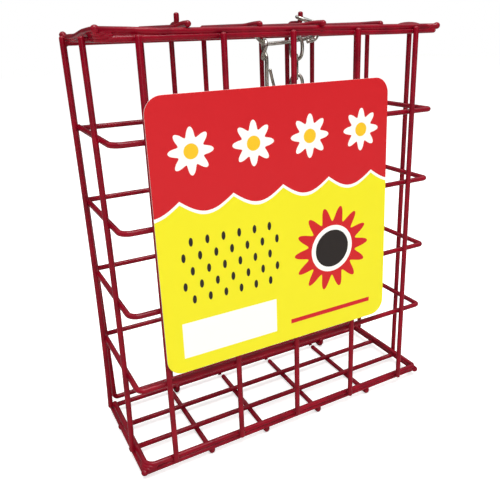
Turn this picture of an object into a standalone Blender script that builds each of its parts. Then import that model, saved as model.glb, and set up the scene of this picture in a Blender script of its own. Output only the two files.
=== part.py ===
"""Hanging wire cage for poultry treats: welded basket, rear door on wire hooks, chain, clip and snap.

The basket is six U-shaped wires open at the rear, nine uprights and two grids, one for the floor and
one for the lid. The door is a wire frame behind the basket. Two of its uprights curl round the
basket's lower rear rail as hinges, and two long wires arch over the lid as latches.
Units are metres, +Z up, the front faces -Y and the origin is on the table below the middle.
"""
import math

import bpy
from mathutils import Vector

# Coated wire of the basket, the grids and the door
WIRE_DIAMETER = 0.0027
GAP = 0.0003                 # clearance between pieces that touch
TIP_ROUNDING = 0.0008        # length over which a coated wire end narrows

# Basket, measured between wire centre lines
BASKET_WIDTH = 0.1720
BASKET_DEPTH = 0.0616
WRAP_RISE = 0.20015          # from the lowest U-shaped wire to the highest
WRAP_CORNER = 0.0050         # bend radius at the front corners
WRAP_SHARES = (0.0, 0.213, 0.406, 0.603, 0.794, 1.0)
FRONT_UPRIGHT_SHARES = (-0.834, -0.409, -0.012, 0.405, 0.823)
LEFT_UPRIGHT_SHARE = -0.480
RIGHT_UPRIGHT_SHARE = -0.295
REAR_UPRIGHT_SHARE = 0.893

# Floor and lid grids
CROSS_SHARES = (-1.0, -0.341, 0.318, 1.0)
FLOOR_BAR_SHARES = (-0.595, -0.216, 0.177, 0.581)
LID_BAR_SHARES = (-0.579, -0.186, 0.178, 0.593)
EDGE_TIP_REACH = 0.0042      # edge wire ends beyond the front wire
LID_RIGHT_TIP_REACH = 0.0018 # the lid's right edge wire ends sooner
FLOOR_TIP_REACH = 0.0022     # floor bar ends beyond the front wire
LID_TIP_REACH = 0.0003       # lid bars end on the front wire
REAR_TIP_REACH = 0.0030      # edge and lid bar ends beyond the rear rail
FLOOR_BAR_SETBACK = 0.0008   # floor bars stop short of the rail so that the door can swing

# Door
DOOR_WIDTH = 0.1740
DOOR_HEIGHT = 0.1996
DOOR_CORNER = 0.0045
DOOR_STANDOFF = 0.0052       # door frame behind the hinge rail
DOOR_LIFT = 0.00165          # bottom bar above the hinge rail
DOOR_TIP_REACH = 0.0027      # upright ends beyond the frame bars
DOOR_UPRIGHT_SHARES = (-0.552, -0.151, 0.255, 0.652)
DOOR_CROSS_SHARES = (0.212, 0.413, 0.608, 0.795)
HINGE_TIP_RISE = 0.0042      # hook end above the rail
LATCH_BAR_REACHES = (0.018207, 0.011761)  # each latch inward of the lid's outer bars
LATCH_ARCH = 0.0080          # bend radius over the top of the door
LATCH_BEND = 0.0030          # bend radius of the turned-up end
LATCH_TIP_RISE = 0.0050
LATCH_REACHES = (0.0064, 0.0115)         # toe in front of the lid's rear rail
LATCH_SKEWS = (0.0018, 0.0030)           # toe to the left of the rise

# Card on the front
CARD_WIDTH = 0.1270
CARD_HEIGHT = 0.1287
CARD_THICKNESS = 0.0006
CARD_CORNER = 0.0080
CARD_SIDE_SHIFT = 0.0090     # middle of the card left of the middle of the basket
CARD_BASE = 0.0563           # lower edge above the table

# Chain and its fittings
LINK_WIRE = 0.0020
LINK_LENGTH = 0.0150
LINK_WIDTH = 0.0100
CHAIN_LINKS = 6
SNAP_LINKS = 2
CHAIN_TURN = math.radians(-60.9)
CLIP_WIRE = 0.0020
CLIP_DROP = 0.0096           # arm's low end below the rail
CLIP_SIDE_GAP = 0.0005       # clip hooks beside the lid bars
CLIP_ARM_SHARES = ((0.19, 1.0), (0.87, 0.708))
CHAIN_PLACE_SHARE = 0.68
SNAP_PLACE_SHARE = 0.21
CLIP_CURL_SHARES = ((0.844, -0.95, 0.927), (0.917, -1.0, 0.948), (0.977, -1.0, 0.780), (1.0, -1.0, 0.45))
CLIP_RETURN_SHARES = ((1.0, 1.0, 0.28), (0.955, 0.45, 0.56))
CLIP_RISE_SHARES = ((0.13, 0.0, 0.96), (0.05, -0.35, 0.60), (0.0, -0.85, 0.30))
CLIP_END_SHARE = 0.28
PRONG_LINK_TURN = math.radians(33.0)
PRONG_LINK_PITCH = math.radians(16.0)
PRONG_LINK_ROLL = math.radians(20.0)
PRONG_LINK_RISE = 0.0006     # its low side clears the latch wire by this

SNAP_WIRE = 0.0022
SNAP_LENGTH = 0.0405         # clip arm to the bottom of the bowl
SNAP_EYE_RADIUS = 0.0032
SNAP_BOWL_RADIUS = 0.0026
SNAP_NECK = 0.0028           # eye's lowest point to the straight spine
SNAP_LIP = 0.0078            # bowl's bottom to the gate pivot
SNAP_PIN_REACH = 0.0046
GATE_WIRE = 0.0018
GATE_HEIGHT = 0.0184         # pivot to the gate's tip
GATE_OFFSET_SHARE = 0.68     # gate's eye along the pin

WIRE_RESOLUTION = 4          # twelve sides
FINE_RESOLUTION = 2          # eight sides
WIRE_SIDES = 12
ARC_STEPS = 6
LINK_ARC_STEPS = 8
SPLINE_STEPS = 5

# Derived sizes
wire_radius = WIRE_DIAMETER / 2
wire_reach = wire_radius * math.cos(math.pi / WIRE_SIDES)
seat = WIRE_DIAMETER + GAP
half_width = BASKET_WIDTH / 2
half_depth = BASKET_DEPTH / 2
floor_low = wire_reach
floor_high = floor_low + seat
wrap_base = floor_high + seat
wrap_top = wrap_base + WRAP_RISE
lid_low = wrap_top + seat
lid_high = lid_low + seat
edge_x = half_width + wire_radius
cross_half = edge_x - wire_radius - GAP
upright_foot = wrap_base - wire_radius
upright_head = wrap_top + wire_radius
door_y = half_depth + DOOR_STANDOFF
door_upright_y = door_y + seat
door_half = DOOR_WIDTH / 2
card_back = half_depth + seat + wire_radius + GAP
depth_shift = (door_upright_y + wire_reach - card_back - CARD_THICKNESS) / 2
link_radius = LINK_WIRE / 2
clip_radius = CLIP_WIRE / 2
snap_radius = SNAP_WIRE / 2
gate_radius = GATE_WIRE / 2
link_drop = LINK_LENGTH - LINK_WIRE


def clear_scene():
    for item in list(bpy.data.objects):
        bpy.data.objects.remove(item, do_unlink=True)


def make_material(name, colour, roughness, metallic):
    material = bpy.data.materials.new(name)
    material.use_nodes = True
    shader = material.node_tree.nodes["Principled BSDF"]
    shader.inputs["Base Color"].default_value = (*colour, 1.0)
    shader.inputs["Roughness"].default_value = roughness
    shader.inputs["Metallic"].default_value = metallic
    material.diffuse_color = (*colour, 1.0)
    return material


def make_empty(name, place, parent):
    empty = bpy.data.objects.new(name, None)
    collection.objects.link(empty)
    empty.location = place
    empty.parent = parent
    return empty


def tube(name, points, radius, material, place, parent, turn=(0.0, 0.0, 0.0),
         resolution=WIRE_RESOLUTION, cyclic=False, rounding=0.0, twist="MINIMUM"):
    """Sweep a round wire along the points. With a rounding, both ends narrow over that length."""
    path = [Vector(point) for point in points]
    sizes = [1.0] * len(path)
    if rounding:
        first = (path[1] - path[0]).normalized()
        last = (path[-2] - path[-1]).normalized()
        steps = ((0.0, 0.55), (0.4, 0.88))
        head = [path[0] + first * rounding * share for share, size in steps]
        tail = [path[-1] + last * rounding * share for share, size in reversed(steps)]
        path[0] = path[0] + first * rounding
        path[-1] = path[-1] + last * rounding
        path = head + path + tail
        narrow = [size for share, size in steps]
        sizes = narrow + sizes + narrow[::-1]
    curve = bpy.data.curves.new(name, "CURVE")
    curve.dimensions = "3D"
    curve.twist_mode = twist
    curve.bevel_depth = radius
    curve.bevel_resolution = resolution
    curve.use_fill_caps = not cyclic
    spline = curve.splines.new("POLY")
    spline.points.add(len(path) - 1)
    for point, position, size in zip(spline.points, path, sizes):
        point.co = (*position, 1.0)
        point.radius = size
        point.tilt = math.pi / (4 + 2 * resolution)
    spline.use_cyclic_u = cyclic
    spline.use_smooth = True
    curve.materials.append(material)
    wire = bpy.data.objects.new(name, curve)
    collection.objects.link(wire)
    wire.location = place
    wire.rotation_euler = turn
    wire.parent = parent
    return wire


def straight(name, axis, length, material, place, parent):
    """A straight coated wire that starts at its place and runs along one axis."""
    end = [0.0, 0.0, 0.0]
    end["XYZ".index(axis)] = length
    return tube(name, [(0.0, 0.0, 0.0), end], wire_radius, material, place, parent, rounding=TIP_ROUNDING,
                twist="Z_UP")


def arc(centre, across, along, radius, start, stop, steps):
    """Points on an arc in the plane of the two directions, from one angle to another in degrees."""
    points = []
    for step in range(steps + 1):
        angle = math.radians(start + (stop - start) * step / steps)
        offset = Vector(across) * math.cos(angle) + Vector(along) * math.sin(angle)
        points.append(Vector(centre) + offset * radius)
    return points


def smooth(points, steps=SPLINE_STEPS):
    """A curve that passes through all the points with even tangents."""
    path = [Vector(point) for point in points]
    padded = [path[0] * 2 - path[1]] + path + [path[-1] * 2 - path[-2]]
    result = []
    for before, start, stop, after in zip(padded, padded[1:], padded[2:], padded[3:]):
        for step in range(steps):
            t = step / steps
            result.append(((start * 2) + (stop - before) * t
                           + (before * 2 - start * 5 + stop * 4 - after) * t ** 2
                           + (start * 3 - before - stop * 3 + after) * t ** 3) / 2)
    result.append(path[-1])
    return result


def link_points(upper):
    """Oval chain link in the XZ plane whose upper wire crosses the axis at the given height."""
    bend = LINK_WIDTH / 2 - link_radius
    top = (0.0, 0.0, upper - bend)
    bottom = (0.0, 0.0, upper - link_drop + bend)
    points = arc(top, (1, 0, 0), (0, 0, 1), bend, 0, 180, LINK_ARC_STEPS)
    points += arc(bottom, (1, 0, 0), (0, 0, 1), bend, 180, 360, LINK_ARC_STEPS)
    return points


clear_scene()
collection = bpy.data.collections.new("treat_cage")
bpy.context.scene.collection.children.link(collection)

coating = make_material("cherry_red_coating", (0.40, 0.008, 0.022), 0.32, 0.0)
card_stock = make_material("printed_card", (0.90, 0.62, 0.02), 0.45, 0.0)
zinc = make_material("zinc_plated_steel", (0.55, 0.53, 0.50), 0.28, 1.0)

basket = make_empty("basket_origin", (0.0, -depth_shift, 0.0), None)

# Six U-shaped wires wrap the sides and the front
for number, share in enumerate(WRAP_SHARES, start=1):
    front = -half_depth
    inset = half_width - WRAP_CORNER
    left_corner = arc((-inset, front + WRAP_CORNER, 0.0), (1, 0, 0), (0, 1, 0), WRAP_CORNER, 180, 270,
                      ARC_STEPS)
    right_corner = arc((inset, front + WRAP_CORNER, 0.0), (1, 0, 0), (0, 1, 0), WRAP_CORNER, 270, 360,
                       ARC_STEPS)
    outline = [(-half_width, half_depth, 0.0)] + left_corner + right_corner + [(half_width, half_depth, 0.0)]
    tube(f"wrap_{number}", outline, wire_radius, coating, (0.0, 0.0, wrap_base + WRAP_RISE * share), basket,
         rounding=TIP_ROUNDING, twist="Z_UP")

# Uprights stand outside the U-shaped wires
upright_length = upright_head - upright_foot
for number, share in enumerate(FRONT_UPRIGHT_SHARES, start=1):
    straight(f"front_upright_{number}", "Z", upright_length, coating,
             (half_width * share, -half_depth - seat, upright_foot), basket)
for name, side, share in (("side_upright_left", -1, LEFT_UPRIGHT_SHARE),
                          ("side_upright_right", 1, RIGHT_UPRIGHT_SHARE),
                          ("rear_upright_left", -1, REAR_UPRIGHT_SHARE),
                          ("rear_upright_right", 1, REAR_UPRIGHT_SHARE)):
    straight(name, "Z", upright_length, coating,
             (side * (half_width + seat), half_depth * share, upright_foot), basket)

# Floor and lid: wires across, bars from front to rear outside them, and an edge wire at each side
for grid, cross_z, bar_z, bar_shares, bar_rear, bar_reach, edge_reaches in (
        ("floor", floor_high, floor_low, FLOOR_BAR_SHARES, half_depth - FLOOR_BAR_SETBACK,
         FLOOR_TIP_REACH, (EDGE_TIP_REACH, EDGE_TIP_REACH)),
        ("lid", lid_low, lid_high, LID_BAR_SHARES, half_depth + REAR_TIP_REACH,
         LID_TIP_REACH, (EDGE_TIP_REACH, LID_RIGHT_TIP_REACH))):
    for number, share in enumerate(CROSS_SHARES, start=1):
        straight(f"{grid}_cross_{number}", "X", 2 * cross_half, coating,
                 (-cross_half, half_depth * share, cross_z), basket)
    front_tip = -half_depth - bar_reach
    for number, share in enumerate(bar_shares, start=1):
        straight(f"{grid}_bar_{number}", "Y", bar_rear - front_tip, coating,
                 (half_width * share, front_tip, bar_z), basket)
    for name, side, edge_reach in zip(("left", "right"), (-1, 1), edge_reaches):
        front_tip = -half_depth - edge_reach
        straight(f"{grid}_edge_{name}", "Y", half_depth + REAR_TIP_REACH - front_tip, coating,
                 (side * edge_x, front_tip, cross_z), basket)

# Card in front of the uprights: a flat outline with round corners
card = bpy.data.curves.new("label_card", "CURVE")
card.dimensions = "2D"
card.fill_mode = "BOTH"
card.extrude = CARD_THICKNESS / 2
card_half_width = CARD_WIDTH / 2 - CARD_CORNER
card_half_height = CARD_HEIGHT / 2 - CARD_CORNER
border = []
for side, level, start in ((1, 1, 0), (-1, 1, 90), (-1, -1, 180), (1, -1, 270)):
    border += arc((side * card_half_width, level * card_half_height, 0.0), (1, 0, 0), (0, 1, 0),
                  CARD_CORNER, start, start + 90, ARC_STEPS)
card_spline = card.splines.new("POLY")
card_spline.points.add(len(border) - 1)
for point, position in zip(card_spline.points, border):
    point.co = (*position, 1.0)
card_spline.use_cyclic_u = True
card.materials.append(card_stock)
label = bpy.data.objects.new("label_card", card)
collection.objects.link(label)
label.location = (-CARD_SIDE_SHIFT, -card_back - CARD_THICKNESS / 2, CARD_BASE + CARD_HEIGHT / 2)
label.rotation_euler = (math.pi / 2, 0.0, 0.0)
label.parent = basket

# Door, carried by an empty on the hinge rail's axis. Its pieces are placed from that axis.
hinge = make_empty("door_hinge", (0.0, half_depth, floor_high), basket)
frame_y = DOOR_STANDOFF
outer_y = DOOR_STANDOFF + seat
frame_half = DOOR_HEIGHT / 2 - DOOR_CORNER
frame_inset = door_half - DOOR_CORNER
frame = []
for side, level, start in ((1, 1, 0), (-1, 1, 90), (-1, -1, 180), (1, -1, 270)):
    frame += arc((side * frame_inset, 0.0, level * frame_half), (1, 0, 0), (0, 0, 1),
                 DOOR_CORNER, start, start + 90, ARC_STEPS)
tube("door_frame", frame, wire_radius, coating, (0.0, frame_y, DOOR_LIFT + DOOR_HEIGHT / 2), hinge,
     cyclic=True)
door_cross_half = door_half - wire_radius - GAP
for number, share in enumerate(DOOR_CROSS_SHARES, start=1):
    straight(f"door_cross_{number}", "X", 2 * door_cross_half, coating,
             (-door_cross_half, frame_y, DOOR_LIFT + DOOR_HEIGHT * share), hinge)

# The outer two uprights curl under the bottom bar and round the hinge rail
upright_top = DOOR_LIFT + DOOR_HEIGHT + DOOR_TIP_REACH
slope = math.degrees(math.atan2(DOOR_LIFT, DOOR_STANDOFF))
hook = [(0.0, outer_y, upright_top)]
hook += arc((0.0, frame_y, DOOR_LIFT), (0, 1, 0), (0, 0, 1), seat, 0, slope - 90, ARC_STEPS)
hook += arc((0.0, 0.0, 0.0), (0, 1, 0), (0, 0, 1), seat, slope - 90, -180, ARC_STEPS)
hook += [(0.0, -seat, HINGE_TIP_RISE)]
for number, share in enumerate(DOOR_UPRIGHT_SHARES, start=1):
    if number in (1, len(DOOR_UPRIGHT_SHARES)):
        tube(f"door_upright_{number}", hook, wire_radius, coating, (door_half * share, 0.0, 0.0), hinge,
             rounding=TIP_ROUNDING)
    else:
        foot = DOOR_LIFT - DOOR_TIP_REACH
        straight(f"door_upright_{number}", "Z", upright_top - foot, coating,
                 (door_half * share, outer_y, foot), hinge)

# Latch wires rise with the door, arch over its top bar and the lid's rear rail, and turn up
run_z = lid_low + seat - floor_high
arch_centre = (0.0, outer_y - LATCH_ARCH, run_z - LATCH_ARCH)
latch_tips = []
latch_places = (half_width * LID_BAR_SHARES[0] + LATCH_BAR_REACHES[0],
                half_width * LID_BAR_SHARES[-1] - LATCH_BAR_REACHES[1])
for number, (latch_x, reach, skew) in enumerate(zip(latch_places, LATCH_REACHES, LATCH_SKEWS), start=1):
    route = [(0.0, outer_y, DOOR_LIFT - DOOR_TIP_REACH)]
    route += arc(arch_centre, (0, 1, 0), (0, 0, 1), LATCH_ARCH, 0, 90, ARC_STEPS)
    route += arc((0.0, LATCH_BEND - reach, run_z + LATCH_BEND), (0, 1, 0), (0, 0, 1), LATCH_BEND,
                 270, 180, ARC_STEPS)
    route += [(0.0, -reach, run_z + LATCH_TIP_RISE)]
    span = outer_y + reach
    route = [Vector((-skew * (outer_y - point[1]) / span, point[1], point[2])) for point in route]
    tube(f"door_latch_{number}", route, wire_radius, coating, (latch_x, 0.0, 0.0), hinge,
         rounding=TIP_ROUNDING)
    latch_tips.append(Vector((latch_x - skew, -reach, run_z)))

# Spare link that lies round the right-hand latch's turned-up end
prong_rest = wire_radius + GAP + link_radius
prong_seat = latch_tips[1] + Vector((0.0, 0.0, prong_rest + PRONG_LINK_RISE))
inner_reach = LINK_LENGTH / 2 - LINK_WIRE - wire_radius - GAP
spare = [(point[2] + inner_reach, point[0], 0.0) for point in link_points(link_drop / 2)]
tube("prong_link", spare, link_radius, zinc, prong_seat, hinge,
     turn=(PRONG_LINK_ROLL, PRONG_LINK_PITCH, PRONG_LINK_TURN), resolution=FINE_RESOLUTION, cyclic=True)

# Wire clip that hangs on the lid's rear rail by a hook at each end
clip_axis = make_empty("clip_hinge", (0.0, half_depth, lid_low), basket)
hook_side = wire_radius + clip_radius + CLIP_SIDE_GAP
hook_radius = wire_radius + clip_radius + GAP
clip_left = half_width * LID_BAR_SHARES[2] - hook_side
clip_right = half_width * LID_BAR_SHARES[3] + hook_side
clip_span = clip_right - clip_left


def clip_point(along, across, drop):
    """Place on the clip from shares of its span, of its hook radius and of its drop."""
    return Vector((clip_left + clip_span * along, hook_radius * across, -CLIP_DROP * drop))


def arm_place(share):
    """Point on the straight arm at a share of the clip's span."""
    (low, low_drop), (high, high_drop) = CLIP_ARM_SHARES
    drop = low_drop + (high_drop - low_drop) * (share - low) / (high - low)
    return clip_point(share, 0.0, drop)


right_arc = arc((clip_right, 0.0, 0.0), (0, 1, 0), (0, 0, 1), hook_radius, 180, 0, 4)
left_arc = arc((clip_left, 0.0, 0.0), (0, 1, 0), (0, 0, 1), hook_radius, 180, 0, 4)
guide = [clip_point(*row) for row in CLIP_CURL_SHARES]
guide += right_arc
guide += [clip_point(*row) for row in CLIP_RETURN_SHARES]
guide += [arm_place(CLIP_ARM_SHARES[1][0]), arm_place(CHAIN_PLACE_SHARE)]
guide += [arm_place(SNAP_PLACE_SHARE + (CHAIN_PLACE_SHARE - SNAP_PLACE_SHARE) / 2)]
guide += [arm_place(CLIP_ARM_SHARES[0][0])]
guide += [clip_point(*row) for row in CLIP_RISE_SHARES]
guide += left_arc
guide += [clip_point(0.0, 1.0, CLIP_END_SHARE)]
tube("wire_clip", smooth(guide, 3), clip_radius, zinc, (0.0, 0.0, 0.0), clip_axis,
     resolution=FINE_RESOLUTION)

# Chain: each link hangs on the lower wire of the one before, turned a quarter turn
link_seat = link_radius + GAP + link_radius
carrier = clip_axis
place = arm_place(CHAIN_PLACE_SHARE)
turn = CHAIN_TURN
for number in range(1, CHAIN_LINKS + 1):
    link = tube(f"chain_link_{number}", link_points(link_seat), link_radius, zinc, place, carrier,
                turn=(0.0, 0.0, turn), resolution=FINE_RESOLUTION, cyclic=True)
    carrier = link
    place = (0.0, 0.0, link_seat - link_drop)
    turn = math.pi / 2

# Snap hook: an eye round the clip's arm, a straight spine, a bowl, and a pin for the gate
snap_place = arm_place(SNAP_PLACE_SHARE)
eye_z = clip_radius + GAP + snap_radius - SNAP_EYE_RADIUS
neck_z = eye_z - SNAP_EYE_RADIUS - SNAP_NECK
bowl_z = SNAP_BOWL_RADIUS - SNAP_LENGTH
pivot_x = 2 * SNAP_BOWL_RADIUS
pivot_z = SNAP_LIP - SNAP_LENGTH
eye = arc((0.0, 0.0, eye_z), (0, 1, 0), (0, 0, 1), SNAP_EYE_RADIUS, 245, -45, 12)
snap_route = smooth(eye + [Vector((0.0, 0.0, neck_z)), Vector((0.0, 0.0, neck_z - SNAP_NECK))], 1)
bowl = arc((SNAP_BOWL_RADIUS, 0.0, bowl_z), (1, 0, 0), (0, 0, 1), SNAP_BOWL_RADIUS, 180, 360, LINK_ARC_STEPS)
turn_centre = (pivot_x, -SNAP_WIRE, pivot_z - SNAP_WIRE)
pin_bend = arc(turn_centre, (0, 1, 0), (0, 0, 1), SNAP_WIRE, 0, 90, 4)
snap_route += bowl + pin_bend + [(pivot_x, -SNAP_PIN_REACH, pivot_z)]
snap = tube("snap_body", snap_route, snap_radius, zinc, snap_place, clip_axis, resolution=FINE_RESOLUTION)

# Sprung gate: its eye turns on the pin and its tip rests beside the spine
gate_eye = snap_radius + GAP + gate_radius
gate_y = -SNAP_WIRE - (SNAP_PIN_REACH - SNAP_WIRE) * GATE_OFFSET_SHARE
tip_x = snap_radius + GAP + gate_radius - pivot_x
gate_ring = arc((0.0, 0.0, 0.0), (1, 0, 0), (0, 0, 1), gate_eye, 130, 375, 12)
gate_line = [Vector((gate_eye + (tip_x - gate_eye) * share, -gate_y * min(1.0, share * 2), GATE_HEIGHT * share))
             for share in (0.3, 0.5, 1.0)]
tube("snap_gate", gate_ring + gate_line, gate_radius, zinc, (pivot_x, gate_y, pivot_z), snap,
     resolution=FINE_RESOLUTION)

# Links that lie in the snap's bowl
carrier = snap
place = (SNAP_BOWL_RADIUS, 0.0, -SNAP_LENGTH)
turn = math.pi / 2
upper = snap_radius + GAP + link_radius
for number in range(1, SNAP_LINKS + 1):
    link = tube(f"snap_link_{number}", link_points(upper), link_radius, zinc, place, carrier,
                turn=(0.0, 0.0, turn), resolution=FINE_RESOLUTION, cyclic=True)
    carrier = link
    place = (0.0, 0.0, upper - link_drop)
    upper = link_seat
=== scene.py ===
import math

import bpy
import numpy as np
from mathutils import Euler, Matrix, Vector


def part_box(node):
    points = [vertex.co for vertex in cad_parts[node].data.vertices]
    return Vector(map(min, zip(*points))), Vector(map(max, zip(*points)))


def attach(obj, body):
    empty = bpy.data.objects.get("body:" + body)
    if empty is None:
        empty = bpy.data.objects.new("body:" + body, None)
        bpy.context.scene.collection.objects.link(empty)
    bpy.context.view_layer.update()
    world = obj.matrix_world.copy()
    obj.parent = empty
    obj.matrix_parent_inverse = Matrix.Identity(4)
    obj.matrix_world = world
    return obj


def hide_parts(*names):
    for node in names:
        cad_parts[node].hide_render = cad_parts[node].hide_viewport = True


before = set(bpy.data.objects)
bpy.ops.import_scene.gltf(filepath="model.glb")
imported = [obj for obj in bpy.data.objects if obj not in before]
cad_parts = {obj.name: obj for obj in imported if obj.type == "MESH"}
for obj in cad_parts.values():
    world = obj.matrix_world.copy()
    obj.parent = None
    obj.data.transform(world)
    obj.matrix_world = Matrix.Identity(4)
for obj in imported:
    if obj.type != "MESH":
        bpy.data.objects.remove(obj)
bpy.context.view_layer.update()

# The view: a tabletop product shot from the front left, a little above the lid. The lens is about
# 42 mm on a full frame, and the shift sets the cage in the middle of the frame.
view_right = (0.87464, -0.48405, -0.02640)
view_down = (-0.17519, -0.26483, -0.94825)
view_forward = (0.45201, 0.83400, -0.31643)
view_place = (-0.14247, -0.26520, 0.21002)
focal_pixels, frame_pixels = 577.9, 500
camera_data = bpy.data.cameras.new("shop_camera")
camera_data.sensor_width = 36.0
camera_data.lens = focal_pixels / frame_pixels * camera_data.sensor_width
camera_data.shift_x = -0.0294
camera_data.shift_y = -0.0590
camera_data.clip_start = 0.01
camera = bpy.data.objects.new("shop_camera", camera_data)
bpy.context.scene.collection.objects.link(camera)
camera.matrix_world = Matrix((
    (view_right[0], -view_down[0], -view_forward[0], view_place[0]),
    (view_right[1], -view_down[1], -view_forward[1], view_place[1]),
    (view_right[2], -view_down[2], -view_forward[2], view_place[2]),
    (0.0, 0.0, 0.0, 1.0)))
bpy.context.scene.camera = camera
bpy.context.scene.view_settings.view_transform = "Standard"


# The studio: a white sweep under the cage, one broad soft light overhead, a weak one low in front and an
# even surround. The sweep shows white and keeps a pale contact shadow.
def add_node(tree, kind, settings=None, **links):
    """Add one node. Settings are its properties. A link names an input, or counts it as in i0, and gives
    it a value or another node's output."""
    made = tree.nodes.new(kind)
    for key, value in (settings or {}).items():
        setattr(made, key, value)
    for key, value in links.items():
        counted = key[0] == "i" and key[1:].isdigit()
        socket = made.inputs[int(key[1:]) if counted else key.replace("_", " ")]
        if isinstance(value, bpy.types.NodeSocket):
            tree.links.new(value, socket)
        else:
            socket.default_value = value
    return made


def from_hex(code):
    """Linear colour of an sRGB hex code."""
    parts = [int(code[k:k + 2], 16) / 255 for k in (1, 3, 5)]
    return tuple(p / 12.92 if p <= 0.04045 else ((p + 0.055) / 1.055) ** 2.4 for p in parts) + (1.0,)


world = bpy.data.worlds.new("white_surround")
bpy.context.scene.world = world
world.use_nodes = True
tree = world.node_tree
tree.nodes.clear()
path_kind = add_node(tree, "ShaderNodeLightPath")
even = add_node(tree, "ShaderNodeBackground", Color=from_hex("#FFFFFF"), Strength=0.44)
# What shiny pieces mirror: a dark room up to 12 degrees above the horizon, which brightens to a pale
# ceiling at 53 degrees
direction = add_node(tree, "ShaderNodeTexCoord")
height = add_node(tree, "ShaderNodeSeparateXYZ", Vector=direction.outputs["Generated"])
ceiling = add_node(tree, "ShaderNodeMapRange", {"interpolation_type": "SMOOTHSTEP"},
                   Value=height.outputs["Z"], From_Min=0.20, From_Max=0.80, To_Min=0.05, To_Max=1.1)
dim = add_node(tree, "ShaderNodeBackground", Color=from_hex("#F2F4F8"), Strength=ceiling.outputs[0])
bright = add_node(tree, "ShaderNodeBackground", Color=from_hex("#FFFFFF"), Strength=1.0)
mirrored = add_node(tree, "ShaderNodeMixShader", i0=path_kind.outputs["Is Glossy Ray"], i1=even.outputs[0],
                    i2=dim.outputs[0])
surround = add_node(tree, "ShaderNodeMixShader", i0=path_kind.outputs["Is Camera Ray"],
                    i1=mirrored.outputs[0], i2=bright.outputs[0])
add_node(tree, "ShaderNodeOutputWorld", Surface=surround.outputs[0])


def sweep_surface(across, along):
    """Flat floor of the given half sizes, as a grid of two parameters."""
    u, v = np.meshgrid(np.linspace(-across, across, 3), np.linspace(-along, along, 3), indexing="ij")
    return np.stack([u, v, np.zeros_like(u)], axis=-1)


def grid_faces(rows, columns, wrap_rows=False, wrap_columns=False):
    """Quads of a grid of points, optionally closed round in either direction."""
    r = np.arange(rows if wrap_rows else rows - 1)
    c = np.arange(columns if wrap_columns else columns - 1)
    r, c = np.meshgrid(r, c, indexing="ij")
    r_next, c_next = (r + 1) % rows, (c + 1) % columns
    return np.stack([r * columns + c, r_next * columns + c, r_next * columns + c_next,
                     r * columns + c_next], axis=-1).reshape(-1, 4)


def make_piece(name, points, faces, smooth=True):
    """Mesh object at the origin from an array of points and a list of faces."""
    mesh = bpy.data.meshes.new(name)
    mesh.from_pydata(np.asarray(points).reshape(-1, 3).tolist(), [], [list(map(int, f)) for f in faces])
    mesh.polygons.foreach_set("use_smooth", [smooth] * len(mesh.polygons))
    mesh.update()
    piece = bpy.data.objects.new(name, mesh)
    bpy.context.scene.collection.objects.link(piece)
    return piece


sweep_half = 3.0
floor = make_piece("white_sweep", sweep_surface(sweep_half, sweep_half), grid_faces(3, 3), smooth=False)
floor_paper = bpy.data.materials.new("matt_white_sweep")
floor_paper.use_nodes = True
tree = floor_paper.node_tree
tree.nodes.clear()
path_kind = add_node(tree, "ShaderNodeLightPath")
paper = add_node(tree, "ShaderNodeBsdfDiffuse", Color=from_hex("#F4F4F2"))
glow = add_node(tree, "ShaderNodeEmission", Color=from_hex("#FFFFFF"), Strength=0.58)
both = add_node(tree, "ShaderNodeAddShader", i0=paper.outputs[0], i1=glow.outputs[0])
dull = add_node(tree, "ShaderNodeBsdfDiffuse", Color=from_hex("#A6A6A4"))
mirrored = add_node(tree, "ShaderNodeMixShader", i0=path_kind.outputs["Is Glossy Ray"], i1=paper.outputs[0],
                    i2=dull.outputs[0])
sheet = add_node(tree, "ShaderNodeMixShader", i0=path_kind.outputs["Is Camera Ray"], i1=mirrored.outputs[0],
                 i2=both.outputs[0])
add_node(tree, "ShaderNodeOutputMaterial", Surface=sheet.outputs[0])
floor.data.materials.append(floor_paper)

for name, place, turn, size, power in (
        ("overhead_softbox", (-0.05, -0.45, 1.60), (math.radians(16), 0.0, 0.0), 1.00, 25.0),
        ("front_fill", (-0.15, -1.15, 0.30), (math.radians(80), 0.0, math.radians(-7)), 0.60, 1.1)):
    lamp_data = bpy.data.lights.new(name, "AREA")
    lamp_data.shape = "SQUARE"
    lamp_data.size = size
    lamp_data.energy = power
    lamp = bpy.data.objects.new(name, lamp_data)
    lamp.location = place
    lamp.rotation_euler = turn
    bpy.context.scene.collection.objects.link(lamp)


# The basket's U-shaped wires: six lengths of mild steel wire, bent at the two front corners, welded to
# the uprights and dipped in glossy cherry-red vinyl. The coating is thick, so cut ends are domed.
wire_radius = 0.00135
wire_sides = 20
# The solids' wires have twelve sides, so a box reaches this far from a wire's centre line
box_reach = wire_radius * math.cos(math.pi / 12)
# How deep a domed end is, as a share of the radius, and the angles of its rings from near the pole
dome_share = 0.7
dome_angles = np.linspace(0.12, math.pi / 2, 6)


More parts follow.
